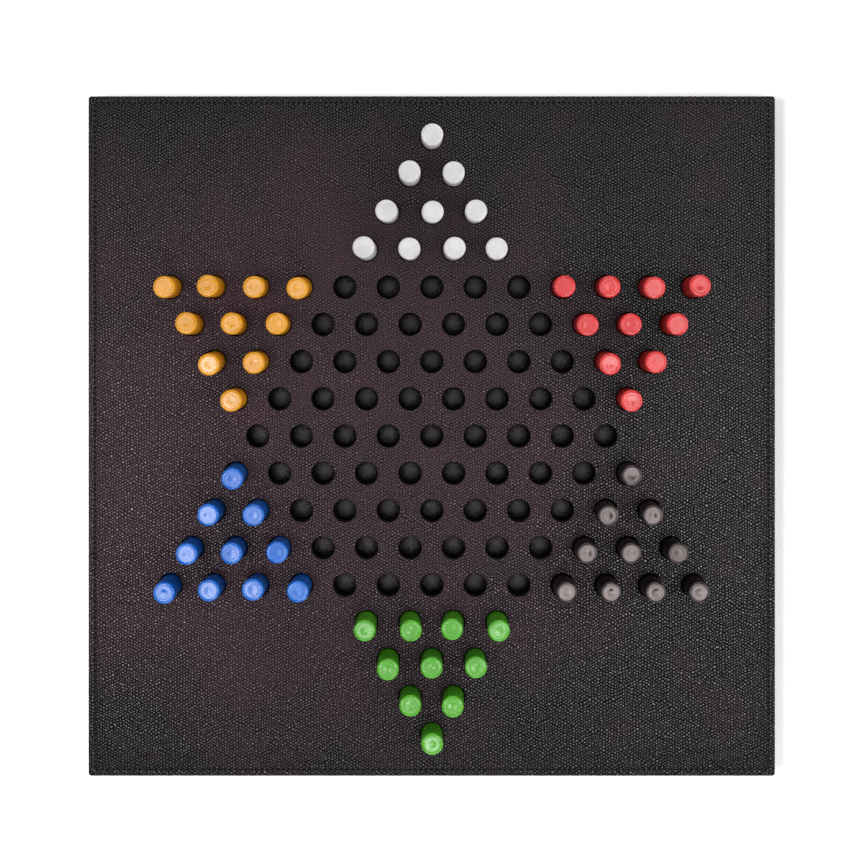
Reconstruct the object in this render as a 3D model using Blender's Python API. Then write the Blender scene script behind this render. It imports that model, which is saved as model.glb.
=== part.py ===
"""Chinese checkers board: a leather-covered board with 121 peg holes and its lacquered pegs.

Metres, +Z up. The origin is the centre of the underside, +X is the board's right and +Y its top,
as a player sees it with the white pegs at the far side.

The board is a drilled panel over a suede sheet over a plain base panel. A leather sheet with the
same 121 holes covers the top, a leather band wraps the four edges and is turned in above and
below, and a suede sheet lines the underside. Each of the six arms of the star holds ten pegs. The
peg at the very tip of each arm is left out of this model, and the other nine are separate pieces.
"""

import math

import bmesh
import bpy
from mathutils import Vector

# the board's outline
BOARD_WIDTH = 0.400
BOARD_DEPTH = 0.396
CORNER_RADIUS = 0.0018
LEAST_CORNER_RADIUS = 0.0003
CORNER_STEPS = 4

# the layers, from the underside up
GAP = 0.0003  # between pieces that touch
UNDERSIDE_SUEDE = 0.0012
BASE_PANEL = 0.0060
FLOOR_SUEDE = 0.0008
HOLE_PANEL = 0.0130
TOP_LEATHER = 0.0014

BASE_PANEL_Z = UNDERSIDE_SUEDE + GAP
FLOOR_SUEDE_Z = BASE_PANEL_Z + BASE_PANEL + GAP
HOLE_PANEL_Z = FLOOR_SUEDE_Z + FLOOR_SUEDE + GAP
TOP_LEATHER_Z = HOLE_PANEL_Z + HOLE_PANEL + GAP
BOARD_TOP_Z = TOP_LEATHER_Z + TOP_LEATHER

# the edge band: a wall with the leather turned in above and below the panels
BAND_THICKNESS = 0.0012
TOP_TURN_IN = 0.0070
BOTTOM_TURN_IN = 0.0120
UNDERSIDE_SUEDE_INSET = 0.0050

# the star of holes
HOLE_PITCH = 0.02535
ROW_PITCH = 0.0217
HEXAGON_SIDE = 4  # steps from the centre to a corner of the hexagon that the arms stand on
ARM_TIP = 2 * HEXAGON_SIDE
HOLE_RADIUS = 0.0068
LEATHER_HOLE_SIDES = 12
PANEL_HOLE_SIDES = 8  # hidden below the leather

# the pegs
PEG_RADIUS = 0.0063
PEG_LENGTH = 0.0350
PEG_TOP_ROUND = 0.0009
PEG_FOOT_CHAMFER = 0.0006
PEG_SIDES = 12
PEG_FOOT_Z = FLOOR_SUEDE_Z + FLOOR_SUEDE + GAP

# each colour's arm: the lattice coordinate that grows towards its tip, and its sign there
ARMS = {
    "white": (1, 1),
    "green": (1, -1),
    "orange": (0, -1),
    "black": (0, 1),
    "red": (2, -1),
    "blue": (2, 1),
}

# colour, roughness
BLACK_LEATHER = ((0.045, 0.040, 0.041), 0.48)
CHARCOAL_SUEDE = ((0.050, 0.048, 0.048), 0.92)
BLACK_FIBREBOARD = ((0.030, 0.028, 0.027), 0.80)
LACQUERS = {
    "white": ((0.800, 0.790, 0.780), 0.14),
    "green": ((0.045, 0.290, 0.020), 0.14),
    "orange": ((0.720, 0.270, 0.030), 0.14),
    "black": ((0.012, 0.010, 0.011), 0.14),
    "red": ((0.560, 0.035, 0.035), 0.14),
    "blue": ((0.010, 0.110, 0.480), 0.14),
}


def clear_scene():
    for old in list(bpy.data.objects):
        bpy.data.objects.remove(old, do_unlink=True)


def make_material(name, finish):
    colour, roughness = finish
    material = bpy.data.materials.new(name)
    material.use_nodes = True
    shader = material.node_tree.nodes["Principled BSDF"]
    shader.inputs["Base Color"].default_value = (*colour, 1.0)
    shader.inputs["Roughness"].default_value = roughness
    shader.inputs["Metallic"].default_value = 0.0
    return material


def add_object(name, mesh, material=None):
    piece = bpy.data.objects.new(name, mesh)
    bpy.context.scene.collection.objects.link(piece)
    if material and not mesh.materials:
        mesh.materials.append(material)
    return piece


def mesh_from(bm, name):
    bmesh.ops.recalc_face_normals(bm, faces=bm.faces)
    mesh = bpy.data.meshes.new(name)
    bm.to_mesh(mesh)
    bm.free()
    return mesh


# ---- the star's lattice ----


def lattice_coordinates(across, up):
    """The three coordinates of a hole, which add up to nothing. Each is constant along a row."""
    return (across - up / 2, up, -across - up / 2)


def in_star(coordinates):
    return max(coordinates) <= HEXAGON_SIDE or min(coordinates) >= -HEXAGON_SIDE


def star_holes():
    """The lattice coordinates of all 121 holes, from the top row down."""
    holes = []
    for up in range(ARM_TIP, -ARM_TIP - 1, -1):
        for half_steps in range(-2 * ARM_TIP, 2 * ARM_TIP + 1):
            if (half_steps - up) % 2 == 0:
                coordinates = lattice_coordinates(half_steps / 2, up)
                if in_star(coordinates):
                    holes.append(coordinates)
    return holes


def place(coordinates):
    """The point on the board, in metres, of a hole."""
    slanted, up, _ = coordinates
    return Vector(((slanted + up / 2) * HOLE_PITCH, up * ROW_PITCH, 0.0))


def arm_holes(axis, sign):
    """The ten holes of an arm, from its tip inwards."""
    arm = [hole for hole in star_holes() if sign * hole[axis] > HEXAGON_SIDE]
    return sorted(arm, key=lambda hole: (-sign * hole[axis], hole[(axis + 1) % 3]))


# ---- outlines and slabs ----


def rounded_rectangle(inset, z):
    """The board's outline, moved inwards by inset, at height z."""
    radius = max(CORNER_RADIUS - inset, LEAST_CORNER_RADIUS)
    reach_x = BOARD_WIDTH / 2 - inset - radius
    reach_y = BOARD_DEPTH / 2 - inset - radius
    points = []
    for corner, (side_x, side_y) in enumerate(((1, 1), (-1, 1), (-1, -1), (1, -1))):
        for step in range(CORNER_STEPS + 1):
            angle = (corner + step / CORNER_STEPS) * math.pi / 2
            x = side_x * reach_x + radius * math.cos(angle)
            y = side_y * reach_y + radius * math.sin(angle)
            points.append((x, y, z))
    return points


def add_ring(bm, points):
    return [bm.verts.new(point) for point in points]


def join_rings(bm, lower, upper):
    count = len(lower)
    for i in range(count):
        following = (i + 1) % count
        bm.faces.new((lower[i], lower[following], upper[following], upper[i]))


def slab(name, steps):
    """A solid whose outline is inset by each of steps, (inset, height), from the bottom up."""
    bm = bmesh.new()
    rings = [add_ring(bm, rounded_rectangle(inset, z)) for inset, z in steps]
    for lower, upper in zip(rings, rings[1:]):
        join_rings(bm, lower, upper)
    bm.faces.new(reversed(rings[0]))
    bm.faces.new(rings[-1])
    return mesh_from(bm, name)


def frame_solid(name, profile):
    """A closed profile of (inset, height) points carried around the board's outline."""
    bm = bmesh.new()
    rings = [add_ring(bm, rounded_rectangle(inset, z)) for inset, z in profile]
    for lower, upper in zip(rings, rings[1:] + rings[:1]):
        join_rings(bm, lower, upper)
    return mesh_from(bm, name)


# ---- the board's pieces ----


def hole_cutter(name, sides, bottom_z, top_z):
    """Upright prisms through all the holes, whose flat sides touch the round wall from outside."""
    bm = bmesh.new()
    corner_radius = HOLE_RADIUS / math.cos(math.pi / sides)
    for hole in star_holes():
        centre = place(hole)
        rings = []
        for z in (bottom_z, top_z):
            corners = []
            for side in range(sides):
                angle = side * 2 * math.pi / sides
                corner = (corner_radius * math.cos(angle), corner_radius * math.sin(angle), z)
                corners.append(centre + Vector(corner))
            rings.append(add_ring(bm, corners))
        join_rings(bm, *rings)
        bm.faces.new(reversed(rings[0]))
        bm.faces.new(rings[1])
    cutter = add_object(name, mesh_from(bm, name))
    cutter.hide_render = True
    cutter.display_type = "WIRE"
    return cutter


def drill(piece, cutter):
    holes = piece.modifiers.new("holes", "BOOLEAN")
    holes.operation = "DIFFERENCE"
    holes.solver = "EXACT"
    holes.object = cutter


def make_board():
    leather = make_material("black_leather", BLACK_LEATHER)
    suede = make_material("charcoal_suede", CHARCOAL_SUEDE)
    panel = make_material("black_fibreboard", BLACK_FIBREBOARD)
    leather_cutter = hole_cutter(
        "leather_hole_cutter", LEATHER_HOLE_SIDES, TOP_LEATHER_Z - GAP, BOARD_TOP_Z + GAP
    )
    panel_cutter = hole_cutter(
        "panel_hole_cutter", PANEL_HOLE_SIDES, HOLE_PANEL_Z - GAP, TOP_LEATHER_Z
    )

    panel_inset = BAND_THICKNESS + GAP
    top_rebate = TOP_TURN_IN + GAP
    bottom_rebate = BOTTOM_TURN_IN + GAP
    turn_in_z = TOP_LEATHER_Z - GAP - BAND_THICKNESS
    lower_turn_in_z = BASE_PANEL_Z + BAND_THICKNESS

    top_leather = add_object(
        "top_leather", slab("top_leather", [(0, TOP_LEATHER_Z), (0, BOARD_TOP_Z)]), leather
    )
    drill(top_leather, leather_cutter)

    hole_panel_steps = [
        (panel_inset, HOLE_PANEL_Z),
        (panel_inset, turn_in_z - GAP),
        (top_rebate, turn_in_z - GAP),
        (top_rebate, HOLE_PANEL_Z + HOLE_PANEL),
    ]
    hole_panel = add_object("hole_panel", slab("hole_panel", hole_panel_steps), panel)
    drill(hole_panel, panel_cutter)

    floor_steps = [(panel_inset, FLOOR_SUEDE_Z), (panel_inset, FLOOR_SUEDE_Z + FLOOR_SUEDE)]
    add_object("hole_floor_suede", slab("hole_floor_suede", floor_steps), suede)

    base_panel_steps = [
        (bottom_rebate, BASE_PANEL_Z),
        (bottom_rebate, lower_turn_in_z + GAP),
        (panel_inset, lower_turn_in_z + GAP),
        (panel_inset, BASE_PANEL_Z + BASE_PANEL),
    ]
    add_object("base_panel", slab("base_panel", base_panel_steps), panel)

    band_profile = [
        (0, BASE_PANEL_Z),
        (0, TOP_LEATHER_Z - GAP),
        (TOP_TURN_IN, TOP_LEATHER_Z - GAP),
        (TOP_TURN_IN, turn_in_z),
        (BAND_THICKNESS, turn_in_z),
        (BAND_THICKNESS, lower_turn_in_z),
        (BOTTOM_TURN_IN, lower_turn_in_z),
        (BOTTOM_TURN_IN, BASE_PANEL_Z),
    ]
    add_object("edge_band", frame_solid("edge_band", band_profile), leather)

    underside_steps = [(UNDERSIDE_SUEDE_INSET, 0), (UNDERSIDE_SUEDE_INSET, UNDERSIDE_SUEDE)]
    add_object("underside_suede", slab("underside_suede", underside_steps), suede)


# ---- the pegs ----


def peg_mesh(name):
    """A turned peg about its own axis, from its foot at the origin."""
    bm = bmesh.new()
    profile = [
        (PEG_RADIUS - PEG_FOOT_CHAMFER, 0.0),
        (PEG_RADIUS, PEG_FOOT_CHAMFER),
        (PEG_RADIUS, PEG_LENGTH - PEG_TOP_ROUND),
        (PEG_RADIUS - PEG_TOP_ROUND, PEG_LENGTH),
    ]
    rings = []
    for radius, z in profile:
        corners = []
        for side in range(PEG_SIDES):
            angle = side * 2 * math.pi / PEG_SIDES
            corners.append((radius * math.cos(angle), radius * math.sin(angle), z))
        rings.append(add_ring(bm, corners))
    for lower, upper in zip(rings, rings[1:]):
        join_rings(bm, lower, upper)
    bm.faces.new(reversed(rings[0]))
    bm.faces.new(rings[-1])
    mesh = mesh_from(bm, name)
    mesh.shade_smooth()
    mesh.set_sharp_from_angle(angle=math.radians(40))
    return mesh


def make_pegs():
    for colour, (axis, sign) in ARMS.items():
        mesh = peg_mesh(f"{colour}_peg")
        lacquer = make_material(f"{colour}_lacquer", LACQUERS[colour])
        for number, hole in enumerate(arm_holes(axis, sign), start=1):
            if number > 1:  # the tip's peg is left out
                peg = add_object(f"{colour}_peg_{number:02d}", mesh, lacquer)
                peg.location = place(hole) + Vector((0, 0, PEG_FOOT_Z))


def main():
    clear_scene()
    make_board()
    make_pegs()


main()
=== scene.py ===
"""The looks of the Chinese checkers board: stitched grained leather, suede and lacquered pegs.

Metres, +Z up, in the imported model's own frame. Each piece's mesh is built where it lies, with its
object at the origin, so that a texture's Object coordinates are the place on the board.
"""

import math
import random

import bpy
import numpy as np
from mathutils import Matrix, Vector
from mathutils.geometry import delaunay_2d_cdt


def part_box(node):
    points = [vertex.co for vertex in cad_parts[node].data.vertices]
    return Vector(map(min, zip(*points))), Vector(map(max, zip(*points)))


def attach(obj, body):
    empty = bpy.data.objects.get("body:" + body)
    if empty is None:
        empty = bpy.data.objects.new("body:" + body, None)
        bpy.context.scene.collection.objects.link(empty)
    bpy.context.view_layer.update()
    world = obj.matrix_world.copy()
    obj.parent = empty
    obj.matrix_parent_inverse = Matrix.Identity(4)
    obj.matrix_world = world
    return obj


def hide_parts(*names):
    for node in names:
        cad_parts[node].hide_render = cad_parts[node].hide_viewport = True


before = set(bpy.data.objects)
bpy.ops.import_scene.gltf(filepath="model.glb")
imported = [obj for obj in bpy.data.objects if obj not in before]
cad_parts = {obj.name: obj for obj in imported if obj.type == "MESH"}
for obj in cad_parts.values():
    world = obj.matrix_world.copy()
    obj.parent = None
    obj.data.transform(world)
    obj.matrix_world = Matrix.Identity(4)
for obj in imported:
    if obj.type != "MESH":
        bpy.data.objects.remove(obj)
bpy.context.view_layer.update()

MM = 0.001
COLOURS = ("white", "orange", "red", "blue", "black", "green")

# ---- what the frame says ----

board_low, board_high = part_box("top_leather")
BOARD_WIDTH = board_high.x - board_low.x
BOARD_DEPTH = board_high.y - board_low.y
CORNER_RADIUS = 1.8 * MM
LEAST_CORNER_RADIUS = 0.3 * MM


def node_centre(node):
    low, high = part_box(node)
    return (low + high) / 2


# white_peg_02 and _03 are the second row from the tip, right and left, and _04 starts the third row
HOLE_PITCH = node_centre("white_peg_02").x - node_centre("white_peg_03").x
ROW_PITCH = node_centre("white_peg_02").y - node_centre("white_peg_04").y
HEXAGON_SIDE = 4
ARM_TIP = 2 * HEXAGON_SIDE
HOLE_RADIUS = 6.8 * MM
peg_low, peg_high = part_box("white_peg_02")
PEG_RADIUS = (peg_high.x - peg_low.x) / 2
PEG_LENGTH = peg_high.z - peg_low.z
PEG_FOOT_Z = peg_low.z

# each colour's arm: the lattice coordinate that grows towards its tip, and its sign there
ARMS = {
    "white": (1, 1),
    "green": (1, -1),
    "orange": (0, -1),
    "black": (0, 1),
    "red": (2, -1),
    "blue": (2, 1),
}


def star_holes():
    """The three lattice coordinates, which add up to nothing, of all 121 holes."""
    holes = []
    for up in range(ARM_TIP, -ARM_TIP - 1, -1):
        for half_steps in range(-2 * ARM_TIP, 2 * ARM_TIP + 1):
            if (half_steps - up) % 2 == 0:
                across = half_steps / 2
                hole = (across - up / 2, up, -across - up / 2)
                if max(hole) <= HEXAGON_SIDE or min(hole) >= -HEXAGON_SIDE:
                    holes.append(hole)
    return holes


def place(hole):
    slanted, up, _ = hole
    return Vector(((slanted + up / 2) * HOLE_PITCH, up * ROW_PITCH, 0.0))


def arm_holes(axis, sign):
    """The ten holes of an arm, from its tip inwards, numbered as the CAD pegs are."""
    arm = [hole for hole in star_holes() if sign * hole[axis] > HEXAGON_SIDE]
    return sorted(arm, key=lambda hole: (-sign * hole[axis], hole[(axis + 1) % 3]))


HOLE_CENTRES = [place(hole) for hole in star_holes()]
EMPTY_CENTRES = [place(hole) for hole in star_holes() if max(map(abs, hole)) <= HEXAGON_SIDE]


# ---- shader nodes ----


class Shader:
    """A material's node tree, with short ways to add and link its nodes."""

    def __init__(self, name, roughness, specular=0.5):
        self.material = bpy.data.materials.new(name)
        self.material.use_nodes = True
        self.nodes = self.material.node_tree.nodes
        self.surface = self.nodes["Principled BSDF"]
        self.surface.inputs["Roughness"].default_value = roughness
        self.surface.inputs["Specular IOR Level"].default_value = specular

    def link(self, source, target):
        self.material.node_tree.links.new(source, target)

    def feed(self, socket, value):
        """Links an output to a socket, or sets the socket to a plain value."""
        if isinstance(value, bpy.types.NodeSocket):
            self.link(value, socket)
        elif value is not None:
            socket.default_value = value

    def math(self, operation, first, second=None, third=None, clamp=False):
        node = self.nodes.new("ShaderNodeMath")
        node.operation = operation
        node.use_clamp = clamp
        for socket, value in zip(node.inputs, (first, second, third)):
            self.feed(socket, value)
        return node.outputs["Value"]

    def vector(self, operation, first, second=None, scale=None):
        node = self.nodes.new("ShaderNodeVectorMath")
        node.operation = operation
        self.feed(node.inputs[0], first)
        self.feed(node.inputs[1], second)
        if scale is not None:
            node.inputs["Scale"].default_value = scale
        return node.outputs["Value" if operation in ("DOT_PRODUCT", "DISTANCE") else "Vector"]

    def object_point(self):
        return self.nodes.new("ShaderNodeTexCoord").outputs["Object"]

    def layer(self, name):
        node = self.nodes.new("ShaderNodeUVMap")
        node.uv_map = name
        return node.outputs["UV"]

    def surface_point(self):
        """The point on the leather as it lay flat, in metres."""
        return self.layer("flat")

    def noise(self, point, feature, detail=2.0, output="Fac"):
        """Noise whose features are about that many metres across."""
        node = self.nodes.new("ShaderNodeTexNoise")
        self.link(point, node.inputs["Vector"])
        node.inputs["Scale"].default_value = 1 / feature
        node.inputs["Detail"].default_value = detail
        return node.outputs[output]

    def spread(self, value, low, high, to_low, to_high, smooth=False):
        """Maps low..high to to_low..to_high, without going past either end."""
        node = self.nodes.new("ShaderNodeMapRange")
        node.interpolation_type = "SMOOTHSTEP" if smooth else "LINEAR"
        self.link(value, node.inputs["Value"])
        node.inputs["From Min"].default_value = low
        node.inputs["From Max"].default_value = high
        node.inputs["To Min"].default_value = to_low
        node.inputs["To Max"].default_value = to_high
        return node.outputs["Result"]

    def mix(self, share, first, second):
        node = self.nodes.new("ShaderNodeMix")
        node.data_type = "RGBA"
        self.feed(node.inputs["Factor"], share)
        for socket, colour in ((node.inputs["A"], first), (node.inputs["B"], second)):
            self.feed(socket, (*colour, 1.0) if isinstance(colour, tuple) else colour)
        return node.outputs["Result"]

    def bump(self, height, distance, normal=None):
        """Relief of that many metres for each unit of height."""
        node = self.nodes.new("ShaderNodeBump")
        node.inputs["Distance"].default_value = distance
        self.link(height, node.inputs["Height"])
        self.feed(node.inputs["Normal"], normal)
        return node.outputs["Normal"]

    def set(self, colour=None, roughness=None, normal=None, specular=None):
        self.feed(self.surface.inputs["Specular IOR Level"], specular)
        self.feed(self.surface.inputs["Base Color"], colour)
        self.feed(self.surface.inputs["Roughness"], roughness)
        self.feed(self.surface.inputs["Normal"], normal)
        return self.material


GRAIN_WAVELENGTH = 1.57 * MM
GRAIN_ANGLES = (61, 119)  # degrees from +X, across each of the two sets of ridges
GRAIN_DEPTH = 0.045 * MM
REDDER_MIDDLE = (-0.075, -0.010, 0.0)  # the dye is a little redder around this point
REDDER_REACH = 0.175


def grain_height(shader, flat):
    """Small rounded pebbles where three sets of wandering ridges cross, from about -1 to 1."""
    centred = (-0.5, -0.5, -0.5)
    point = flat
    for feature, reach in ((8 * MM, 3.0 * MM), (3.0 * MM, 1.5 * MM)):
        drift = shader.vector("ADD", shader.noise(flat, feature, 1.0, "Color"), centred)
        point = shader.vector("ADD", point, shader.vector("SCALE", drift, scale=reach))
    phases = []
    for angle in GRAIN_ANGLES:
        turn = math.radians(angle)
        count = 2 * math.pi / GRAIN_WAVELENGTH
        across = (count * math.cos(turn), count * math.sin(turn), 0)
        phases.append(shader.vector("DOT_PRODUCT", point, across))
    phases.append(shader.math("SUBTRACT", *phases))
    ridges = [shader.math("COSINE", phase) for phase in phases]
    two = shader.math("ADD", ridges[0], ridges[1])
    both = shader.math("MULTIPLY_ADD", ridges[2], 0.6, two)
    strength = shader.spread(shader.noise(flat, 4.5 * MM, 2.0), 0.3, 0.7, 0.85, 1.15)
    return shader.math("MULTIPLY", shader.math("MULTIPLY", both, 0.4), strength)


def stitch_line(shader):
    """1 along the row of stitches, where the leather is pressed smooth, and 0 away from it."""
    point = shader.object_point()
    insets = []
    for axis, half in (((1.0, 0.0, 0.0), BOARD_WIDTH / 2), ((0.0, 1.0, 0.0), BOARD_DEPTH / 2)):
        along = shader.math("ABSOLUTE", shader.vector("DOT_PRODUCT", point, axis))
        insets.append(shader.math("SUBTRACT", half, along))
    off = shader.math("SUBTRACT", shader.math("MINIMUM", *insets), STITCH_INSET)
    return shader.spread(shader.math("ABSOLUTE", off), 0.45 * MM, 0.90 * MM, 1.0, 0.0, smooth=True)


def leather_material():
    """Dark dye, glossier pebble tips, a painted highlight on each tip and painted shade in the pits."""
    shader = Shader("grained_black_leather", 0.30, specular=0.5)
    flat = shader.surface_point()
    height = grain_height(shader, flat)
    tip = shader.spread(height, 0.00, 0.75, 0.0, 1.0, smooth=True)
    away = shader.vector("DISTANCE", flat, REDDER_MIDDLE)
    redder = shader.spread(away, 0.6 * REDDER_REACH, 1.3 * REDDER_REACH, 0.75, 0.0, smooth=True)
    cloud = shader.spread(shader.noise(flat, 45 * MM, 3.0), 0.35, 0.65, -0.15, 0.30)
    tone = shader.math("ADD", redder, cloud, clamp=True)
    up = shader.vector("DOT_PRODUCT", flat, (0.0, 1.0, 0.0))
    # painted shade in the pits and a painted highlight on the pebble tips, over the dye's tone
    pit_dye_and_painted_shade = shader.mix(tone, (0.0060, 0.0063, 0.0061), (0.0320, 0.0185, 0.0236))
    tip_dye_and_painted_highlight = shader.mix(tone, (0.0520, 0.0535, 0.0528), (0.0580, 0.0370, 0.0450))
    dye_with_painted_grain_light = shader.mix(shader.spread(height, -0.20, 0.75, 0.0, 1.0), pit_dye_and_painted_shade, tip_dye_and_painted_highlight)
    pressed = stitch_line(shader)
    smoothed = shader.mix(pressed, dye_with_painted_grain_light, (0.037, 0.034, 0.036))
    # painted shade: the leather's colour is darkened towards the front edge
    painted_front_shade = shader.spread(up, -0.17, 0.12, 0.66, 1.0)
    colour = shader.mix(painted_front_shade, (0.0, 0.0, 0.0), smoothed)
    pebble = shader.noise(flat, 1.25 * MM, 1.0)
    fine = shader.noise(flat, 0.35 * MM, 2.0)
    worn = shader.spread(pebble, 0.3, 0.7, -0.04, 0.08)
    roughness = shader.math("ADD", shader.spread(tip, 0.0, 1.0, 0.50, 0.14), worn)
    polish = shader.spread(shader.noise(flat, 2.1 * MM, 1.0), 0.42, 0.64, 0.25, 1.0, smooth=True)
    smooth_share = shader.math("SUBTRACT", 1.0, pressed)
    gloss = shader.math("MULTIPLY", shader.spread(tip, 0.2, 1.0, 0.0, 0.60), smooth_share)
    specular = shader.math("MULTIPLY_ADD", gloss, polish, 0.02)
    sheen = shader.mix(tone, (1.0, 0.98, 0.99), (1.0, 0.82, 0.87))
    shader.link(sheen, shader.surface.inputs["Specular Tint"])
    uneven = shader.bump(pebble, 0.12 * MM, shader.bump(fine, 0.012 * MM))
    return shader.set(colour, roughness, shader.bump(height, GRAIN_DEPTH, uneven), specular)


def edge_paint_material():
    shader = Shader("black_edge_paint", 0.40, specular=0.35)
    point = shader.object_point()
    cloud = shader.noise(point, 2.2 * MM, 3.0)
    colour = shader.mix(cloud, (0.0040, 0.0038, 0.0038), (0.0120, 0.0110, 0.0112))
    roughness = shader.spread(shader.noise(point, 0.8 * MM), 0.3, 0.7, 0.34, 0.52)
    normal = shader.bump(shader.noise(point, 0.45 * MM, 3.0), 0.05 * MM)
    return shader.set(colour, roughness, normal)


def suede_material():
    shader = Shader("charcoal_suede_nap", 0.95, specular=0.15)
    point = shader.object_point()
    brushed = shader.noise(point, 6 * MM, 3.0)
    fibre = shader.noise(point, 0.30 * MM, 4.0)
    nap = shader.mix(fibre, (0.030, 0.028, 0.028), (0.095, 0.090, 0.091))
    wear_and_painted_shade = shader.spread(brushed, 0.40, 0.60, 0.0, 0.35, smooth=True)
    worn = shader.mix(wear_and_painted_shade, nap, (0.050, 0.047, 0.047))
    shader.surface.inputs["Sheen Weight"].default_value = 0.10
    shader.surface.inputs["Sheen Roughness"].default_value = 0.6
    normal = shader.bump(fibre, 0.10 * MM, shader.bump(brushed, 0.25 * MM))
    return shader.set(worn, None, normal)


def hole_suede_material():
    """Suede with painted shade: pale in the middle of each hole's floor, dark by the wall."""
    shader = Shader("charcoal_suede_painted_wall_shade", 0.95, specular=0.10)
    point = shader.object_point()
    fibre = shader.noise(point, 0.45 * MM, 3.0)
    clump = shader.noise(point, 1.6 * MM, 2.0)
    openness = shader.vector("DOT_PRODUCT", shader.layer("openness"), (1.0, 0.0, 0.0))
    uneven = shader.math("ADD", openness, shader.spread(clump, 0.3, 0.7, -0.16, 0.16))
    # painted shade: the colour darkens from the middle of each hole's floor to the wall
    wear_and_painted_shade = shader.spread(uneven, -0.05, 0.90, 0.0, 1.0, smooth=True)
    painted_wall_shade_colour = shader.mix(fibre, (0.0030, 0.0027, 0.0028), (0.0110, 0.0100, 0.0104))
    pale = shader.mix(fibre, (0.045, 0.040, 0.042), (0.160, 0.144, 0.151))
    colour = shader.mix(wear_and_painted_shade, painted_wall_shade_colour, pale)
    normal = shader.bump(fibre, 0.14 * MM, shader.bump(clump, 0.30 * MM))
    return shader.set(colour, None, normal)


def fibreboard_material():
    shader = Shader("black_fibreboard_drilled", 0.80, specular=0.10)
    point = shader.object_point()
    chips = shader.noise(point, 0.9 * MM, 4.0)
    colour = shader.mix(chips, (0.0022, 0.0020, 0.0020), (0.0090, 0.0082, 0.0083))
    rings = shader.nodes.new("ShaderNodeTexWave")
    rings.bands_direction = "Z"
    rings.inputs["Scale"].default_value = 1 / (1.1 * MM) / (2 * math.pi)
    rings.inputs["Distortion"].default_value = 2.0
    shader.link(point, rings.inputs["Vector"])
    roughness = shader.spread(chips, 0.3, 0.7, 0.7, 0.9)
    normal = shader.bump(chips, 0.10 * MM, shader.bump(rings.outputs["Fac"], 0.03 * MM))
    return shader.set(colour, roughness, normal)


TWIST_PITCH = 0.45 * MM


def thread_material():
    shader = Shader("waxed_black_thread", 0.70, specular=0.12)
    flat = shader.surface_point()
    turns = shader.vector("DOT_PRODUCT", flat, (2 * math.pi / TWIST_PITCH, 2 * math.pi, 0))
    twist = shader.math("SINE", turns)
    ply = shader.spread(twist, -1.0, 1.0, 0.0, 1.0)
    colour = shader.mix(ply, (0.0010, 0.0010, 0.0011), (0.0050, 0.0048, 0.0050))
    return shader.set(colour, None, shader.bump(ply, 0.05 * MM))


# each lacquer's colour, before it varies a little from place to place
LACQUERS = {
    "white": (0.600, 0.583, 0.597),
    "orange": (0.620, 0.260, 0.004),
    "red": (0.560, 0.028, 0.030),
    "blue": (0.002, 0.105, 0.460),
    "black": (0.0080, 0.0050, 0.0055),
    "green": (0.058, 0.290, 0.008),
}
# painted light and shade on the peg's sides: each colour's chosen share there; above 1 is paler than the
# top
PAINTED_SIDE_LIGHT_SHARES = {"white": 1.33, "orange": 1.10, "red": 0.70, "blue": 0.66, "black": 0.90, "green": 0.74}


def lacquer_material(name):
    """Lacquer with its full shine on the peg's top and little of it down the sides."""
    shader = Shader(f"{name}_lacquer_gloss", 0.18, specular=0.5)
    point = shader.object_point()
    base = LACQUERS[name]
    thin = tuple(0.88 * part for part in base)
    pooled = tuple(min(1.0, 1.07 * part) for part in base)
    clouds = shader.noise(point, 9 * MM, 3.0)
    colour = shader.mix(shader.spread(clouds, 0.32, 0.68, 0.0, 1.0), thin, pooled)
    roughness = shader.spread(shader.noise(point, 3 * MM), 0.3, 0.7, 0.07, 0.14)
    peel = shader.noise(point, 1.9 * MM, 1.0)
    height = shader.vector("DOT_PRODUCT", point, (0.0, 0.0, 1.0))
    side_end = PEG_FOOT_Z + PEG_LENGTH - TOP_ROUND
    on_top = shader.spread(height, side_end, side_end + 0.6 * TOP_ROUND, 0.0, 1.0, smooth=True)
    # painted light and shade: the sides get the top's colour, scaled paler or darker
    painted_side_colour = shader.vector("SCALE", colour, scale=PAINTED_SIDE_LIGHT_SHARES[name])
    colour_with_painted_sides = shader.mix(on_top, painted_side_colour, colour)
    gloss = shader.math("MULTIPLY_ADD", on_top, 0.44, 0.06)
    if name == "black":
        shader.surface.inputs["Specular Tint"].default_value = (1.0, 0.84, 0.84, 1.0)
    return shader.set(colour_with_painted_sides, roughness, shader.bump(peel, 0.006 * MM), gloss)


# ---- meshes ----


def add_piece(name, vertices, faces, materials, layers=None, material_of_face=None):
    """A mesh object at the origin. layers gives each UV layer's pair of values for every vertex."""
    mesh = bpy.data.meshes.new(name)
    mesh.from_pydata([tuple(v) for v in vertices], [], faces)
    for material in materials:
        mesh.materials.append(material)
    if material_of_face is not None:
        mesh.polygons.foreach_set("material_index", material_of_face)
    corners = np.zeros(len(mesh.loops), np.int32)
    mesh.loops.foreach_get("vertex_index", corners)
    for layer_name, values in (layers or {}).items():
        layer = mesh.uv_layers.new(name=layer_name)
        layer.data.foreach_set("uv", np.asarray(values, np.float32)[corners].ravel())
    mesh.shade_smooth()
    mesh.set_sharp_from_angle(angle=math.radians(50))
    mesh.update()
    piece = bpy.data.objects.new(name, mesh)
    bpy.context.scene.collection.objects.link(piece)
    return piece


def ring_faces(lower, upper):
    """Quads between two closed rings of vertex numbers. Both run anticlockwise round an outer wall."""
    faces = []
    for i, start in enumerate(lower):
        following = (i + 1) % len(lower)
        faces.append((start, lower[following], upper[following], upper[i]))
    return faces


CORNER_REACH = 13 * MM  # from the corner to where the evenly spaced stations of a side start
CORNER_ARC_STEPS = 8


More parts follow.
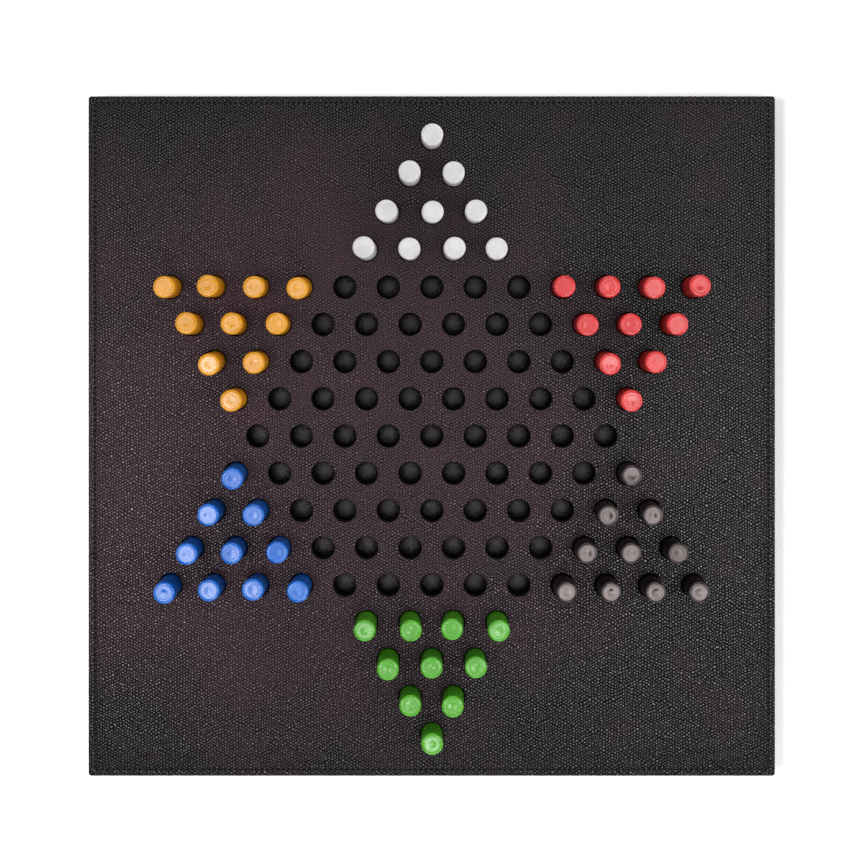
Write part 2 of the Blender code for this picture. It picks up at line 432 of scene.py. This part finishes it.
def outline_stations(side_steps, leg_steps=4):
    """Where the points of an outline are, so that the rings of every inset match point by point.

    Each station is (side, kind, share): share of the way along the side, or into the corner after it.
    """
    stations = []
    for side, steps in enumerate(side_steps):
        stations += [(side, "side", step / steps) for step in range(steps + 1)]
        stations += [(side, "leg out", step / leg_steps) for step in range(1, leg_steps)]
        stations += [(side, "arc", step / CORNER_ARC_STEPS) for step in range(CORNER_ARC_STEPS + 1)]
        stations += [(side, "leg in", step / leg_steps) for step in range(1, leg_steps)]
    return stations


def outline_point(station, inset):
    """The point of a station on the board's outline moved inwards. Sides run anticlockwise from -Y."""
    side, kind, share = station
    half_run, half_across = (BOARD_WIDTH / 2, BOARD_DEPTH / 2)
    if side % 2:
        half_run, half_across = half_across, half_run
    radius = max(CORNER_RADIUS - inset, LEAST_CORNER_RADIUS)
    leg_end = half_run - CORNER_REACH
    arc_start = half_run - inset - radius
    if kind == "side":
        run, across = (2 * share - 1) * leg_end, half_across - inset
    elif kind == "leg out":
        run, across = leg_end + share * (arc_start - leg_end), half_across - inset
    elif kind == "arc":
        turn = share * math.pi / 2
        run = arc_start + radius * math.sin(turn)
        across = half_across - inset - radius + radius * math.cos(turn)
    else:
        run = half_run - inset
        across = half_across - inset - radius - share * (CORNER_REACH - inset - radius)
    x, y = run, -across
    for _ in range(side):
        x, y = -y, x
    return x, y


def circle(centre, radius, segments, phase=0.0):
    points = []
    for step in range(segments):
        angle = (step + phase) * 2 * math.pi / segments
        points.append((centre.x + radius * math.cos(angle), centre.y + radius * math.sin(angle)))
    return points


FIELD_SPACING = 9 * MM
FIELD_INSET = 11 * MM


def field_points(hole_centres, clear_radius):
    """Evenly spread points for the plain field around the holes."""
    points = []
    columns = int((BOARD_WIDTH / 2 - FIELD_INSET) / FIELD_SPACING)
    rows = int((BOARD_DEPTH / 2 - FIELD_INSET) / FIELD_SPACING)
    for row in range(-rows, rows + 1):
        for column in range(-columns, columns + 1):
            point = Vector((column * FIELD_SPACING, row * FIELD_SPACING, 0.0))
            if all((point - centre).length > clear_radius for centre in hole_centres):
                points.append((point.x, point.y))
    return points


class Builder:
    """Collects vertices and faces, with each vertex's point on the material as it lay flat, in metres.

    Openness is 1 in the middle of a hole's floor, 0 at its wall and under the panel.
    """

    def __init__(self):
        self.vertices = []
        self.flat = []
        self.openness = []
        self.faces = []
        self.kinds = []

    def add(self, point, flat=None, openness=0.0):
        self.vertices.append(tuple(point))
        self.flat.append(tuple(flat or point)[:2])
        self.openness.append((openness, 0.0))
        return len(self.vertices) - 1

    def ring(self, points, z, flats=None, openness=0.0):
        flats = flats or points
        return [self.add((x, y, z), flat, openness) for (x, y), flat in zip(points, flats)]

    def cover(self, faces, kind=0):
        self.faces += faces
        self.kinds += [kind] * len(faces)

    def fill(self, outer, inner_rings, z, extra=(), up=True, kind=0):
        """Level triangles inside the outer ring and outside each inner one."""
        numbers = list(outer)
        edges = [(i, (i + 1) % len(outer)) for i in range(len(outer))]
        ring_of = [-1] * len(outer)
        for index, ring in enumerate(inner_rings):
            start = len(numbers)
            edges += [(start + i, start + (i + 1) % len(ring)) for i in range(len(ring))]
            numbers += ring
            ring_of += [index] * len(ring)
        for x, y in extra:
            numbers.append(self.add((x, y, z)))
            ring_of.append(-1)
        flat_points = [Vector(self.vertices[n][:2]) for n in numbers]
        # inner rings are filled too and left out below; without any, only the outer ring is filled
        output_type = 0 if inner_rings else 1
        made = delaunay_2d_cdt(flat_points, edges, [], output_type, 1e-9)
        points, triangles, originals = made[0], made[2], made[3]
        assert len(points) == len(numbers)
        for triangle in triangles:
            inputs = [originals[i][0] for i in triangle]
            rings = {ring_of[i] for i in inputs}
            if len(rings) > 1 or rings == {-1}:
                face = tuple(numbers[i] for i in inputs)
                self.cover([face if up else face[::-1]], kind)

    def piece(self, name, materials):
        layers = {"flat": self.flat, "openness": self.openness}
        return add_piece(name, self.vertices, self.faces, materials, layers, self.kinds)


# ---- the top sheet of leather ----

STITCH_INSET = 3.75 * MM
STITCH_PITCH = 3.1 * MM
STITCH_LENGTH = 2.05 * MM
THREAD_RADIUS = 0.62 * MM
STEPS_PER_STITCH = 4
GROOVE_HALF_WIDTH = 0.75 * MM
GROOVE_DEPTH = 0.20 * MM
NEEDLE_HOLE_DEPTH = 0.22 * MM
HOLE_SEGMENTS = 48
ROLL_RADIUS = 0.50 * MM
ROLL_STEPS = 6
APRON_WIDTH = 0.35 * MM  # level leather between a hole's rolled rim and the triangles of the field
FIELD_CLEARANCE = 11.5 * MM  # from a hole's centre to the nearest point of the field


def stitches_along(length):
    return round(length / STITCH_PITCH)


def stitch_run(side):
    """Length of a side's row of stitches, between the two corner needle holes."""
    return (BOARD_DEPTH if side % 2 else BOARD_WIDTH) - 2 * STITCH_INSET


def pull(side, point):
    """How far the thread has drawn the leather down, from 0 between needle holes to 1 at one."""
    run = point[0] if side % 2 == 0 else point[1]
    pitch = stitch_run(side) / stitches_along(stitch_run(side))
    return 0.5 + 0.5 * math.cos(2 * math.pi * (run + stitch_run(side) / 2) / pitch)


def rounded_corner(inset, z, radius, steps, start, end):
    """Points of an arc in a profile, from start to end in degrees; 0 points outwards and 90 up."""
    points = []
    for step in range(steps + 1):
        angle = math.radians(start + (end - start) * step / steps)
        points.append((inset + radius - radius * math.cos(angle), z + radius * math.sin(angle)))
    return points


def edge_flat(point, inset, beyond):
    """A point on the flat leather that continues past the edge by the height that is turned down."""
    x, y = point
    scale_x = 1 + beyond / (BOARD_WIDTH / 2 - inset)
    scale_y = 1 + beyond / (BOARD_DEPTH / 2 - inset)
    return x * scale_x, y * scale_y


def make_top_leather(leather, paint):
    """The punched top sheet: painted cut edges, a pressed groove for the thread, and rolled hole rims."""
    bottom, top = board_low.z, board_high.z
    paint_kind = 1
    builder = Builder()
    steps = [stitches_along(stitch_run(side)) * STEPS_PER_STITCH for side in range(4)]
    stations = outline_stations(steps, leg_steps=16)

    lower_round = rounded_corner(0, bottom + 0.25 * MM, 0.25 * MM, 3, -90, 0)
    upper_round = rounded_corner(0, top - 0.5 * MM, 0.5 * MM, 5, 0, 90)
    profile = [(GROOVE_HALF_WIDTH + STITCH_INSET, bottom)] + lower_round + upper_round
    groove = [-1.0, -0.7, -0.35, 0.0, 0.35, 0.7, 1.0]
    rings = []
    for inset, z in profile:
        points = [outline_point(station, inset) for station in stations]
        flats = [edge_flat(point, inset, top - z) for point in points]
        rings.append(builder.ring(points, z, flats))
    for share in groove:
        inset = STITCH_INSET + share * GROOVE_HALF_WIDTH
        shape = 0.5 + 0.5 * math.cos(math.pi * share)
        ring = []
        for station in stations:
            point = outline_point(station, inset)
            depth = GROOVE_DEPTH * shape + NEEDLE_HOLE_DEPTH * shape**3 * pull(station[0], point)
            ring.append(builder.add((*point, top - depth)))
        rings.append(ring)
    # edge paint covers the underside, the cut edge and the first two steps of the upper rounding
    painted = 1 + len(lower_round) + 2
    for number, (lower, upper) in enumerate(zip(rings, rings[1:])):
        builder.cover(ring_faces(lower, upper), paint_kind if number < painted else 0)

    hole_tops, hole_bottoms = [], []
    for centre in HOLE_CENTRES:
        ring_points = []
        apron = HOLE_RADIUS + ROLL_RADIUS + APRON_WIDTH
        ring_points.append((apron, top, 0.0))
        for step in range(ROLL_STEPS + 1):
            angle = math.pi / 2 * step / ROLL_STEPS
            radius = HOLE_RADIUS + ROLL_RADIUS * (1 - math.sin(angle))
            height = top - ROLL_RADIUS * (1 - math.cos(angle))
            ring_points.append((radius, height, ROLL_RADIUS * angle))
        ring_points.append((HOLE_RADIUS, bottom, None))
        previous = None
        for number, (radius, z, along) in enumerate(ring_points):
            points = circle(centre, radius, HOLE_SEGMENTS)
            unrolled = apron - APRON_WIDTH - along if along else radius
            ring = builder.ring(points, z, circle(centre, unrolled, HOLE_SEGMENTS))
            if previous:
                kind = paint_kind if along is None else 0
                builder.cover(ring_faces(previous, ring), kind)
            else:
                hole_tops.append(ring)
            previous = ring
        hole_bottoms.append(previous)

    spread_points = field_points(HOLE_CENTRES, FIELD_CLEARANCE)
    builder.fill(rings[-1], hole_tops, top, spread_points)
    builder.fill(rings[0], hole_bottoms, bottom, spread_points, up=False)
    piece = builder.piece("grained_top_leather", [leather, paint])
    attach(piece, "board")
    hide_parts("top_leather")
    return piece


# ---- the thread ----

THREAD_SIDES = 8
THREAD_STEPS = 8
STITCH_SLANT = math.radians(5)


def make_stitches(thread):
    """One short arched length of thread between each two needle holes, along all four sides."""
    chooser = random.Random(31)
    builder = Builder()
    bed = board_high.z - 0.55 * GROOVE_DEPTH
    for side in range(4):
        length = stitch_run(side)
        count = stitches_along(length)
        pitch = length / count
        half_across = (BOARD_WIDTH if side % 2 else BOARD_DEPTH) / 2 - STITCH_INSET
        for number in range(count):
            middle = -length / 2 + (number + 0.5) * pitch + chooser.uniform(-1, 1) * 0.05 * MM
            slant = STITCH_SLANT + chooser.uniform(-1, 1) * math.radians(3)
            half = STITCH_LENGTH / 2 * chooser.uniform(0.93, 1.04)
            rings = []
            for step in range(THREAD_STEPS + 1):
                share = 2 * step / THREAD_STEPS - 1
                run = middle + share * half * math.cos(slant)
                off = share * half * math.sin(slant)
                height = bed + 0.06 * MM - 0.42 * MM * share**4
                radius = THREAD_RADIUS * math.sqrt(max(0.0, 1 - 0.75 * share**6))
                ring = []
                for turn in range(THREAD_SIDES):
                    angle = turn * 2 * math.pi / THREAD_SIDES
                    x = run
                    y = -half_across + off + radius * math.cos(angle)
                    for _ in range(side):
                        x, y = -y, x
                    z = height + radius * math.sin(angle)
                    ring.append(builder.add((x, y, z), (run + 1.0, turn / THREAD_SIDES)))
                rings.append(ring)
            builder.cover([tuple(reversed(rings[0])), tuple(rings[-1])])
            for lower, upper in zip(rings, rings[1:]):
                builder.cover([face[::-1] for face in ring_faces(lower, upper)])
    piece = builder.piece("edge_stitching", [thread])
    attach(piece, "board")
    return piece


# ---- the leather band round the edges ----

BAND_THICKNESS = 1.2 * MM
BAND_TURN_INS = (7.0 * MM, 12.0 * MM)  # under the top leather and under the base panel
LAYER_GAP = 0.3 * MM
SEAM_RUN = 0.062
SEAM_WIDTH = 0.35 * MM
SEAM_DEPTH = 0.35 * MM


def make_edge_band(leather):
    """A strip of leather round the four sides, turned in above and below, with one butted seam."""
    low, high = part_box("edge_band")
    thickness = BAND_THICKNESS
    top_turn_in, bottom_turn_in = BAND_TURN_INS
    upper_round, lower_round = 0.45 * MM, 0.9 * MM
    outer = (
        [(bottom_turn_in, low.z), (3 * MM, low.z)]
        + rounded_corner(0, low.z + lower_round, lower_round, 5, -90, 0)
        + [(0, low.z + share * (high.z - low.z)) for share in (0.3, 0.5, 0.7)]
        + rounded_corner(0, high.z - upper_round, upper_round, 4, 0, 90)
        + [(top_turn_in, high.z)]
    )
    inner = [
        (top_turn_in, high.z - thickness),
        (thickness, high.z - thickness),
        (thickness, low.z + thickness),
        (bottom_turn_in, low.z + thickness),
    ]
    back = 2
    steps = [60, 60, 400, 60]
    stations = outline_stations(steps)
    builder = Builder()
    rings = []
    along = 0.0
    profile = outer + inner
    for number, (inset, z) in enumerate(profile):
        if number:
            along += math.hypot(inset - profile[number - 1][0], z - profile[number - 1][1])
        ring, run, last = [], 0.0, None
        for station in stations:
            point = Vector(outline_point(station, inset))
            if last:
                run += (Vector(outline_point(station, 0)) - last).length
            last = Vector(outline_point(station, 0))
            if station[0] == back and station[1] == "side" and inset < thickness:
                crease = math.exp(-(((point.x - SEAM_RUN) / SEAM_WIDTH) ** 2))
                point.y -= SEAM_DEPTH * crease
            ring.append(builder.add((point.x, point.y, z), (run, along)))
        rings.append(ring)
    for lower, upper in zip(rings, rings[1:] + rings[:1]):
        builder.cover(ring_faces(lower, upper))
    piece = builder.piece("edge_leather_band", [leather])
    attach(piece, "board")
    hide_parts("edge_band")
    return piece


# ---- panels and suede ----


def make_hole_panel(material):
    """The drilled panel, cut back round its upper edge where the band is turned in."""
    low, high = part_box("hole_panel")
    inset = BOARD_WIDTH / 2 - high.x
    rebate_inset = BAND_TURN_INS[0] + LAYER_GAP
    rebate_z = board_low.z - LAYER_GAP - BAND_THICKNESS - LAYER_GAP
    stations = outline_stations([40, 40, 40, 40])
    builder = Builder()
    profile = [
        (inset + 0.2 * MM, low.z),
        (inset, low.z + 0.2 * MM),
        (inset, rebate_z - 0.2 * MM),
        (inset + 0.2 * MM, rebate_z),
        (rebate_inset, rebate_z),
        (rebate_inset, high.z - 0.2 * MM),
        (rebate_inset + 0.2 * MM, high.z),
    ]
    rings = []
    for step_inset, z in profile:
        points = [outline_point(station, step_inset) for station in stations]
        rings.append(builder.ring(points, z))
    for lower, upper in zip(rings, rings[1:]):
        builder.cover(ring_faces(lower, upper))
    hole_tops, hole_bottoms = [], []
    for centre in HOLE_CENTRES:
        shape = [
            (HOLE_RADIUS + 0.25 * MM, high.z),
            (HOLE_RADIUS + 0.05 * MM, high.z - 0.2 * MM),
            (HOLE_RADIUS + 0.03 * MM, (low.z + high.z) / 2),
            (HOLE_RADIUS + 0.05 * MM, low.z),
        ]
        made = [builder.ring(circle(centre, radius, HOLE_SEGMENTS), z) for radius, z in shape]
        for lower, upper in zip(made, made[1:]):
            builder.cover(ring_faces(lower, upper))
        hole_tops.append(made[0])
        hole_bottoms.append(made[-1])
    spread_points = field_points(HOLE_CENTRES, FIELD_CLEARANCE)
    builder.fill(rings[-1], hole_tops, high.z, spread_points)
    builder.fill(rings[0], hole_bottoms, low.z, spread_points, up=False)
    piece = builder.piece("drilled_hole_panel", [material])
    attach(piece, "board")
    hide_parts("hole_panel")
    return piece


CUP_RADIUS = HOLE_RADIUS - 0.04 * MM
CUP_FLAT_RADIUS = 1.6 * MM
CUP_RISE = 2.2 * MM
CUP_STEPS = 9
PRESSED_DEPTH = 0.06 * MM


def cup_profile(floor_z):
    """(radius, height, openness) from the hidden outer foot of the suede's rim to near the middle."""
    profile = [(CUP_RADIUS, floor_z, 0.0), (CUP_RADIUS, floor_z + CUP_RISE - 0.15 * MM, 0.0)]
    for step in range(CUP_STEPS + 1):
        angle = math.pi / 2 * (1 - step / CUP_STEPS)
        radius = CUP_FLAT_RADIUS + (CUP_RADIUS - 0.15 * MM - CUP_FLAT_RADIUS) * math.sin(angle)
        profile.append((radius, floor_z + CUP_RISE * (1 - math.cos(angle)), 1 - radius / CUP_RADIUS))
    profile.append((0.5 * CUP_FLAT_RADIUS, floor_z, 1 - 0.5 * CUP_FLAT_RADIUS / CUP_RADIUS))
    return profile


def pressed_profile(floor_z):
    """The same where a peg has pressed the suede flat."""
    reach = HOLE_RADIUS - 0.3 * MM
    profile = [(reach, floor_z, 0.0)]
    for share in (0.9, 0.7, 0.45, 0.2):
        profile.append((share * reach, floor_z - PRESSED_DEPTH * (1 - share**3), 1 - share))
    return profile


def make_floor_suede(material):
    """The suede under the holes. It curves up at the wall of each empty hole, and pegs press it flat."""
    low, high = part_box("hole_floor_suede")
    inset = BOARD_WIDTH / 2 - high.x
    stations = outline_stations([40, 40, 40, 40])
    builder = Builder()
    profile = [(inset + 0.2 * MM, low.z), (inset, (low.z + high.z) / 2), (inset + 0.2 * MM, high.z)]
    rings = []
    for step_inset, z in profile:
        points = [outline_point(station, step_inset) for station in stations]
        rings.append(builder.ring(points, z))
    for lower, upper in zip(rings, rings[1:]):
        builder.cover(ring_faces(lower, upper))
    patch_edges = []
    for centre in HOLE_CENTRES:
        is_empty = any((centre - other).length < HOLE_RADIUS for other in EMPTY_CENTRES)
        made = []
        for radius, z, openness in cup_profile(high.z) if is_empty else pressed_profile(high.z):
            made.append(builder.ring(circle(centre, radius, HOLE_SEGMENTS), z, None, openness))
        for lower, upper in zip(made, made[1:]):
            builder.cover(ring_faces(lower, upper))
        builder.cover([tuple(made[-1])])
        patch_edges.append(made[0])
    builder.fill(rings[-1], patch_edges, high.z, field_points(HOLE_CENTRES, FIELD_CLEARANCE))
    builder.cover([tuple(reversed(rings[0]))])
    piece = builder.piece("hole_floor_suede_nap", [material])
    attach(piece, "board")
    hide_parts("hole_floor_suede")
    return piece


def make_underside_suede(material):
    """The lining of the underside, with the slightly uneven edge of a hand cut."""
    low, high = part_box("underside_suede")
    inset = BOARD_WIDTH / 2 - high.x
    stations = outline_stations([80, 80, 80, 80])
    chooser = random.Random(5)
    waver = [chooser.uniform(-1, 1) * 0.10 * MM for _ in stations]
    builder = Builder()
    rings = []
    for step_inset, z in ((0.5, 0.0), (0.1, 0.15), (0.0, 0.5), (0.1, 0.9), (0.4, 1.0)):
        height = low.z + z * (high.z - low.z)
        points = []
        for station, wave in zip(stations, waver):
            points.append(outline_point(station, inset + step_inset * MM + wave + 0.1 * MM))
        rings.append(builder.ring(points, height))
    for lower, upper in zip(rings, rings[1:]):
        builder.cover(ring_faces(lower, upper))
    builder.fill(rings[0], [], low.z, field_points([], 0), up=False)
    builder.fill(rings[-1], [], high.z, field_points([], 0))
    piece = builder.piece("underside_suede_nap", [material])
    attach(piece, "board")
    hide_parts("underside_suede")
    return piece


# ---- the pegs ----

PEG_SEGMENTS = 64
TOP_ROUND = 1.35 * MM
FOOT_ROUND = 0.60 * MM
BEAD_WIDTH = 0.55 * MM
BEAD_HEIGHT = 0.035 * MM
BEAD_STEPS = 6
DIMPLE_RADIUS = 3.05 * MM
DIMPLE_DEPTH = 0.08 * MM
MOST_LEAN = math.radians(2.6)
MOST_FOOT_SHIFT = 0.35 * MM


def peg_profile(dimple_radius, dimple_depth, top_round, dish):
    """(radius, height) from the foot's edge up the side and over to the centre of the top."""
    profile = [(PEG_RADIUS - FOOT_ROUND - 0.5 * MM, 0.0)]
    for step in range(5):
        angle = math.pi / 2 * step / 4
        radius = PEG_RADIUS - FOOT_ROUND * (1 - math.sin(angle))
        profile.append((radius, FOOT_ROUND * (1 - math.cos(angle))))
    for share in (0.25, 0.5, 0.75):
        profile.append((PEG_RADIUS, FOOT_ROUND + share * (PEG_LENGTH - FOOT_ROUND - top_round)))
    for step in range(9):
        angle = math.pi / 2 * step / 8
        radius = PEG_RADIUS - top_round * (1 - math.cos(angle))
        profile.append((radius, PEG_LENGTH - top_round * (1 - math.sin(angle))))
    edge = PEG_RADIUS - top_round - BEAD_WIDTH
    for step in range(1, BEAD_STEPS + 1):
        share = step / BEAD_STEPS
        bead = BEAD_HEIGHT * math.sin(math.pi * share) ** 2
        profile.append((edge + BEAD_WIDTH * (1 - share), PEG_LENGTH + bead))
    for share in (0.30, 0.65):
        radius = edge + share * (dimple_radius - edge)
        profile.append((radius, PEG_LENGTH + dish * share))
    for share in (1.0, 0.92, 0.84, 0.72, 0.6, 0.45, 0.3, 0.15):
        sink = 0.5 + 0.5 * math.cos(math.pi * share)
        profile.append((share * dimple_radius, PEG_LENGTH + dish - dimple_depth * sink))
    return profile, PEG_LENGTH + dish - dimple_depth


def peg_mesh_points(profile, centre_z):
    vertices, faces, rings = [], [], []
    for radius, z in profile:
        ring = []
        for step in range(PEG_SEGMENTS):
            angle = step * 2 * math.pi / PEG_SEGMENTS
            vertices.append(Vector((radius * math.cos(angle), radius * math.sin(angle), z)))
            ring.append(len(vertices) - 1)
        rings.append(ring)
    for lower, upper in zip(rings, rings[1:]):
        faces += ring_faces(lower, upper)
    faces.append(tuple(reversed(rings[0])))
    vertices.append(Vector((0.0, 0.0, centre_z)))
    tip = len(vertices) - 1
    last = rings[-1]
    faces += [(start, last[(i + 1) % PEG_SEGMENTS], tip) for i, start in enumerate(last)]
    return vertices, faces


def make_peg(name, centre, material, chooser):
    """A turned peg that leans a little in its hole, as far as the loose fit lets it."""
    profile, centre_z = peg_profile(
        DIMPLE_RADIUS * chooser.uniform(0.90, 1.08),
        DIMPLE_DEPTH * chooser.uniform(0.70, 1.30),
        TOP_ROUND * chooser.uniform(0.88, 1.05),
        chooser.uniform(-0.02, 0.03) * MM,
    )
    vertices, faces = peg_mesh_points(profile, centre_z)
    lean = chooser.uniform(0, 1)
    heading = chooser.uniform(0, 2 * math.pi)
    turn = Matrix.Rotation(chooser.uniform(0, 2 * math.pi), 4, "Z")
    direction = Vector((math.cos(heading), math.sin(heading), 0.0))
    tilt = Matrix.Rotation(lean * MOST_LEAN, 4, Vector((-direction.y, direction.x, 0.0)))
    lift = (PEG_RADIUS - FOOT_ROUND) * math.sin(lean * MOST_LEAN)
    foot = Vector((centre.x, centre.y, PEG_FOOT_Z + lift)) - direction * lean * MOST_FOOT_SHIFT
    placing = Matrix.Translation(foot) @ tilt @ turn
    piece = add_piece(name, [placing @ v for v in vertices], faces, [material])
    piece.data.set_sharp_from_angle(angle=math.radians(60))
    return piece


def make_pegs():
    chooser = random.Random(2027)
    for colour in COLOURS:
        material = lacquer_material(colour)
        for number, hole in enumerate(arm_holes(*ARMS[colour]), start=1):
            node = f"{colour}_peg_{number:02d}"
            piece = make_peg(f"{node}_turned", place(hole), material, chooser)
            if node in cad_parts:
                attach(piece, node)
                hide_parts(node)
            else:
                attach(piece, "board")


# ---- floor, light and camera ----

# radius and height of each ring of the floor
FLOOR_RINGS = ((2.6, 0.0), (3.2, 0.07), (3.7, 0.24), (4.1, 0.52), (4.4, 0.92), (4.6, 1.40))
FLOOR_SEGMENTS = 96
FLOOR_DROP = 0.2 * MM  # keeps it clear of the board's underside


def make_floor():
    """Level around the board. It rises far off, so that low views have the same pale ground behind."""
    shader = Shader("pale_floor", 0.9, specular=0.2)
    shader.set((0.40, 0.40, 0.40, 1.0))
    away = shader.vector("DISTANCE", shader.object_point(), (0.0, 0.0, 0.0))
    glow = shader.spread(away, 0.35, 1.3, 0.24, 0.90, smooth=True)
    shader.surface.inputs["Emission Color"].default_value = (1.0, 1.0, 1.0, 1.0)
    shader.link(glow, shader.surface.inputs["Emission Strength"])
    points = []
    rings = []
    for radius, height in FLOOR_RINGS:
        rings.append(tuple(range(len(points), len(points) + FLOOR_SEGMENTS)))
        points += [(x, y, height) for x, y in circle(Vector((0.0, 0.0)), radius, FLOOR_SEGMENTS)]
    faces = [rings[0]]
    for inner, outer in zip(rings, rings[1:]):
        faces += ring_faces(outer, inner)
    floor = add_piece("floor", points, faces, [shader.material])
    floor.location.z = -FLOOR_DROP
    return floor


def make_soft_light(name, centre, width, depth, radiance, fan=180):
    """A level panel that faces down.

    Radiance is what it sends straight down, and fan is the whole angle in degrees that it reaches.
    """
    data = bpy.data.lights.new(name, "AREA")
    data.shape = "RECTANGLE"
    data.size = width
    data.size_y = depth
    data.energy = radiance * width * depth * math.pi
    if fan < 180:
        half = math.radians(fan / 2)
        data.spread = 2 * half
        data.energy *= 1 - half / math.tan(half)
    light = bpy.data.objects.new(name, data)
    light.location = centre
    bpy.context.scene.collection.objects.link(light)
    return light


def keep_light_to(light, piece):
    """Only that piece is lit by it, and everything else still casts its shadow there."""
    receivers = bpy.data.collections.new(f"{light.name}_receivers")
    receivers.objects.link(piece)
    light.light_linking.receiver_collection = receivers


def make_world(strength):
    world = bpy.data.worlds.new("studio")
    world.use_nodes = True
    background = world.node_tree.nodes["Background"]
    background.inputs["Color"].default_value = (1.0, 1.0, 1.0, 1.0)
    background.inputs["Strength"].default_value = strength
    bpy.context.scene.world = world


VIEW_CENTRE = Vector((-1.0 * MM, 3.55 * MM))
VIEW_WIDTH = 0.5009
BELOW_CAMERA = Vector((4.8 * MM, 73.4 * MM))
CAMERA_HEIGHT = 0.870  # above the leather
SENSOR_WIDTH = 36.0


def make_camera():
    """Looks straight down. The lens is shifted, because the board is not right below the camera."""
    data = bpy.data.cameras.new("camera")
    data.sensor_width = SENSOR_WIDTH
    data.lens = SENSOR_WIDTH * CAMERA_HEIGHT / VIEW_WIDTH
    data.shift_x, data.shift_y = (VIEW_CENTRE - BELOW_CAMERA) / VIEW_WIDTH
    data.clip_start, data.clip_end = 0.01, 20.0
    camera = bpy.data.objects.new("camera", data)
    camera.location = (*BELOW_CAMERA, board_high.z + CAMERA_HEIGHT)
    bpy.context.scene.collection.objects.link(camera)
    bpy.context.scene.camera = camera


def main():
    leather = leather_material()
    fibreboard = fibreboard_material()
    top = make_top_leather(leather, edge_paint_material())
    make_stitches(thread_material())
    band = make_edge_band(leather)
    panel = make_hole_panel(fibreboard)
    floor_suede = make_floor_suede(hole_suede_material())
    underside = make_underside_suede(suede_material())
    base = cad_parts["base_panel"]
    base.data.materials.clear()
    base.data.materials.append(fibreboard)
    make_pegs()

    # this one shows the board's shadow on the floor and adds no direct light to the board
    floor = make_floor()
    floor_light = make_soft_light("floor_softbox", (-0.43, 0.02, 1.20), 0.32, 0.32, 85.0)
    keep_light_to(floor_light, floor)
    make_soft_light("left_softbox", (-0.43, -0.20, 1.02), 0.34, 0.36, 11.0, 64)
    make_soft_light("left_skirt", (-0.40, -0.12, 1.01), 0.44, 0.56, 4.2, 64)
    make_soft_light("right_softbox", (0.38, -0.21, 1.02), 0.46, 0.34, 10.0, 60)
    make_soft_light("right_wing", (0.42, 0.08, 1.01), 0.40, 0.20, 5.0, 64)
    make_soft_light("right_front_strip", (0.24, -0.33, 1.03), 0.34, 0.10, 9.0, 60)
    make_soft_light("front_panel", (-0.13, -0.44, 1.03), 0.12, 0.22, 9.0, 60)
    make_soft_light("front_tip", (0.045, -0.475, 1.03), 0.08, 0.09, 18.0, 60)
    make_soft_light("overhead_strip", (-0.01, -0.15, 1.06), 0.42, 0.70, 1.4)
    make_soft_light("wide_panel", (0.0, 0.30, 1.30), 2.20, 2.20, 0.30)
    make_soft_light("right_bank", (1.05, -0.10, 0.70), 0.70, 1.00, 5.0)
    make_soft_light("front_bank", (0.20, -1.10, 0.85), 1.10, 0.60, 6.0)
    make_soft_light("back_bank", (0.10, 1.10, 0.70), 1.20, 0.60, 4.5)
    make_soft_light("left_bank", (-1.05, -0.10, 0.70), 0.60, 0.80, 2.2)
    make_world(0.05)
    make_camera()
    bpy.context.scene.view_settings.view_transform = "Standard"


main()
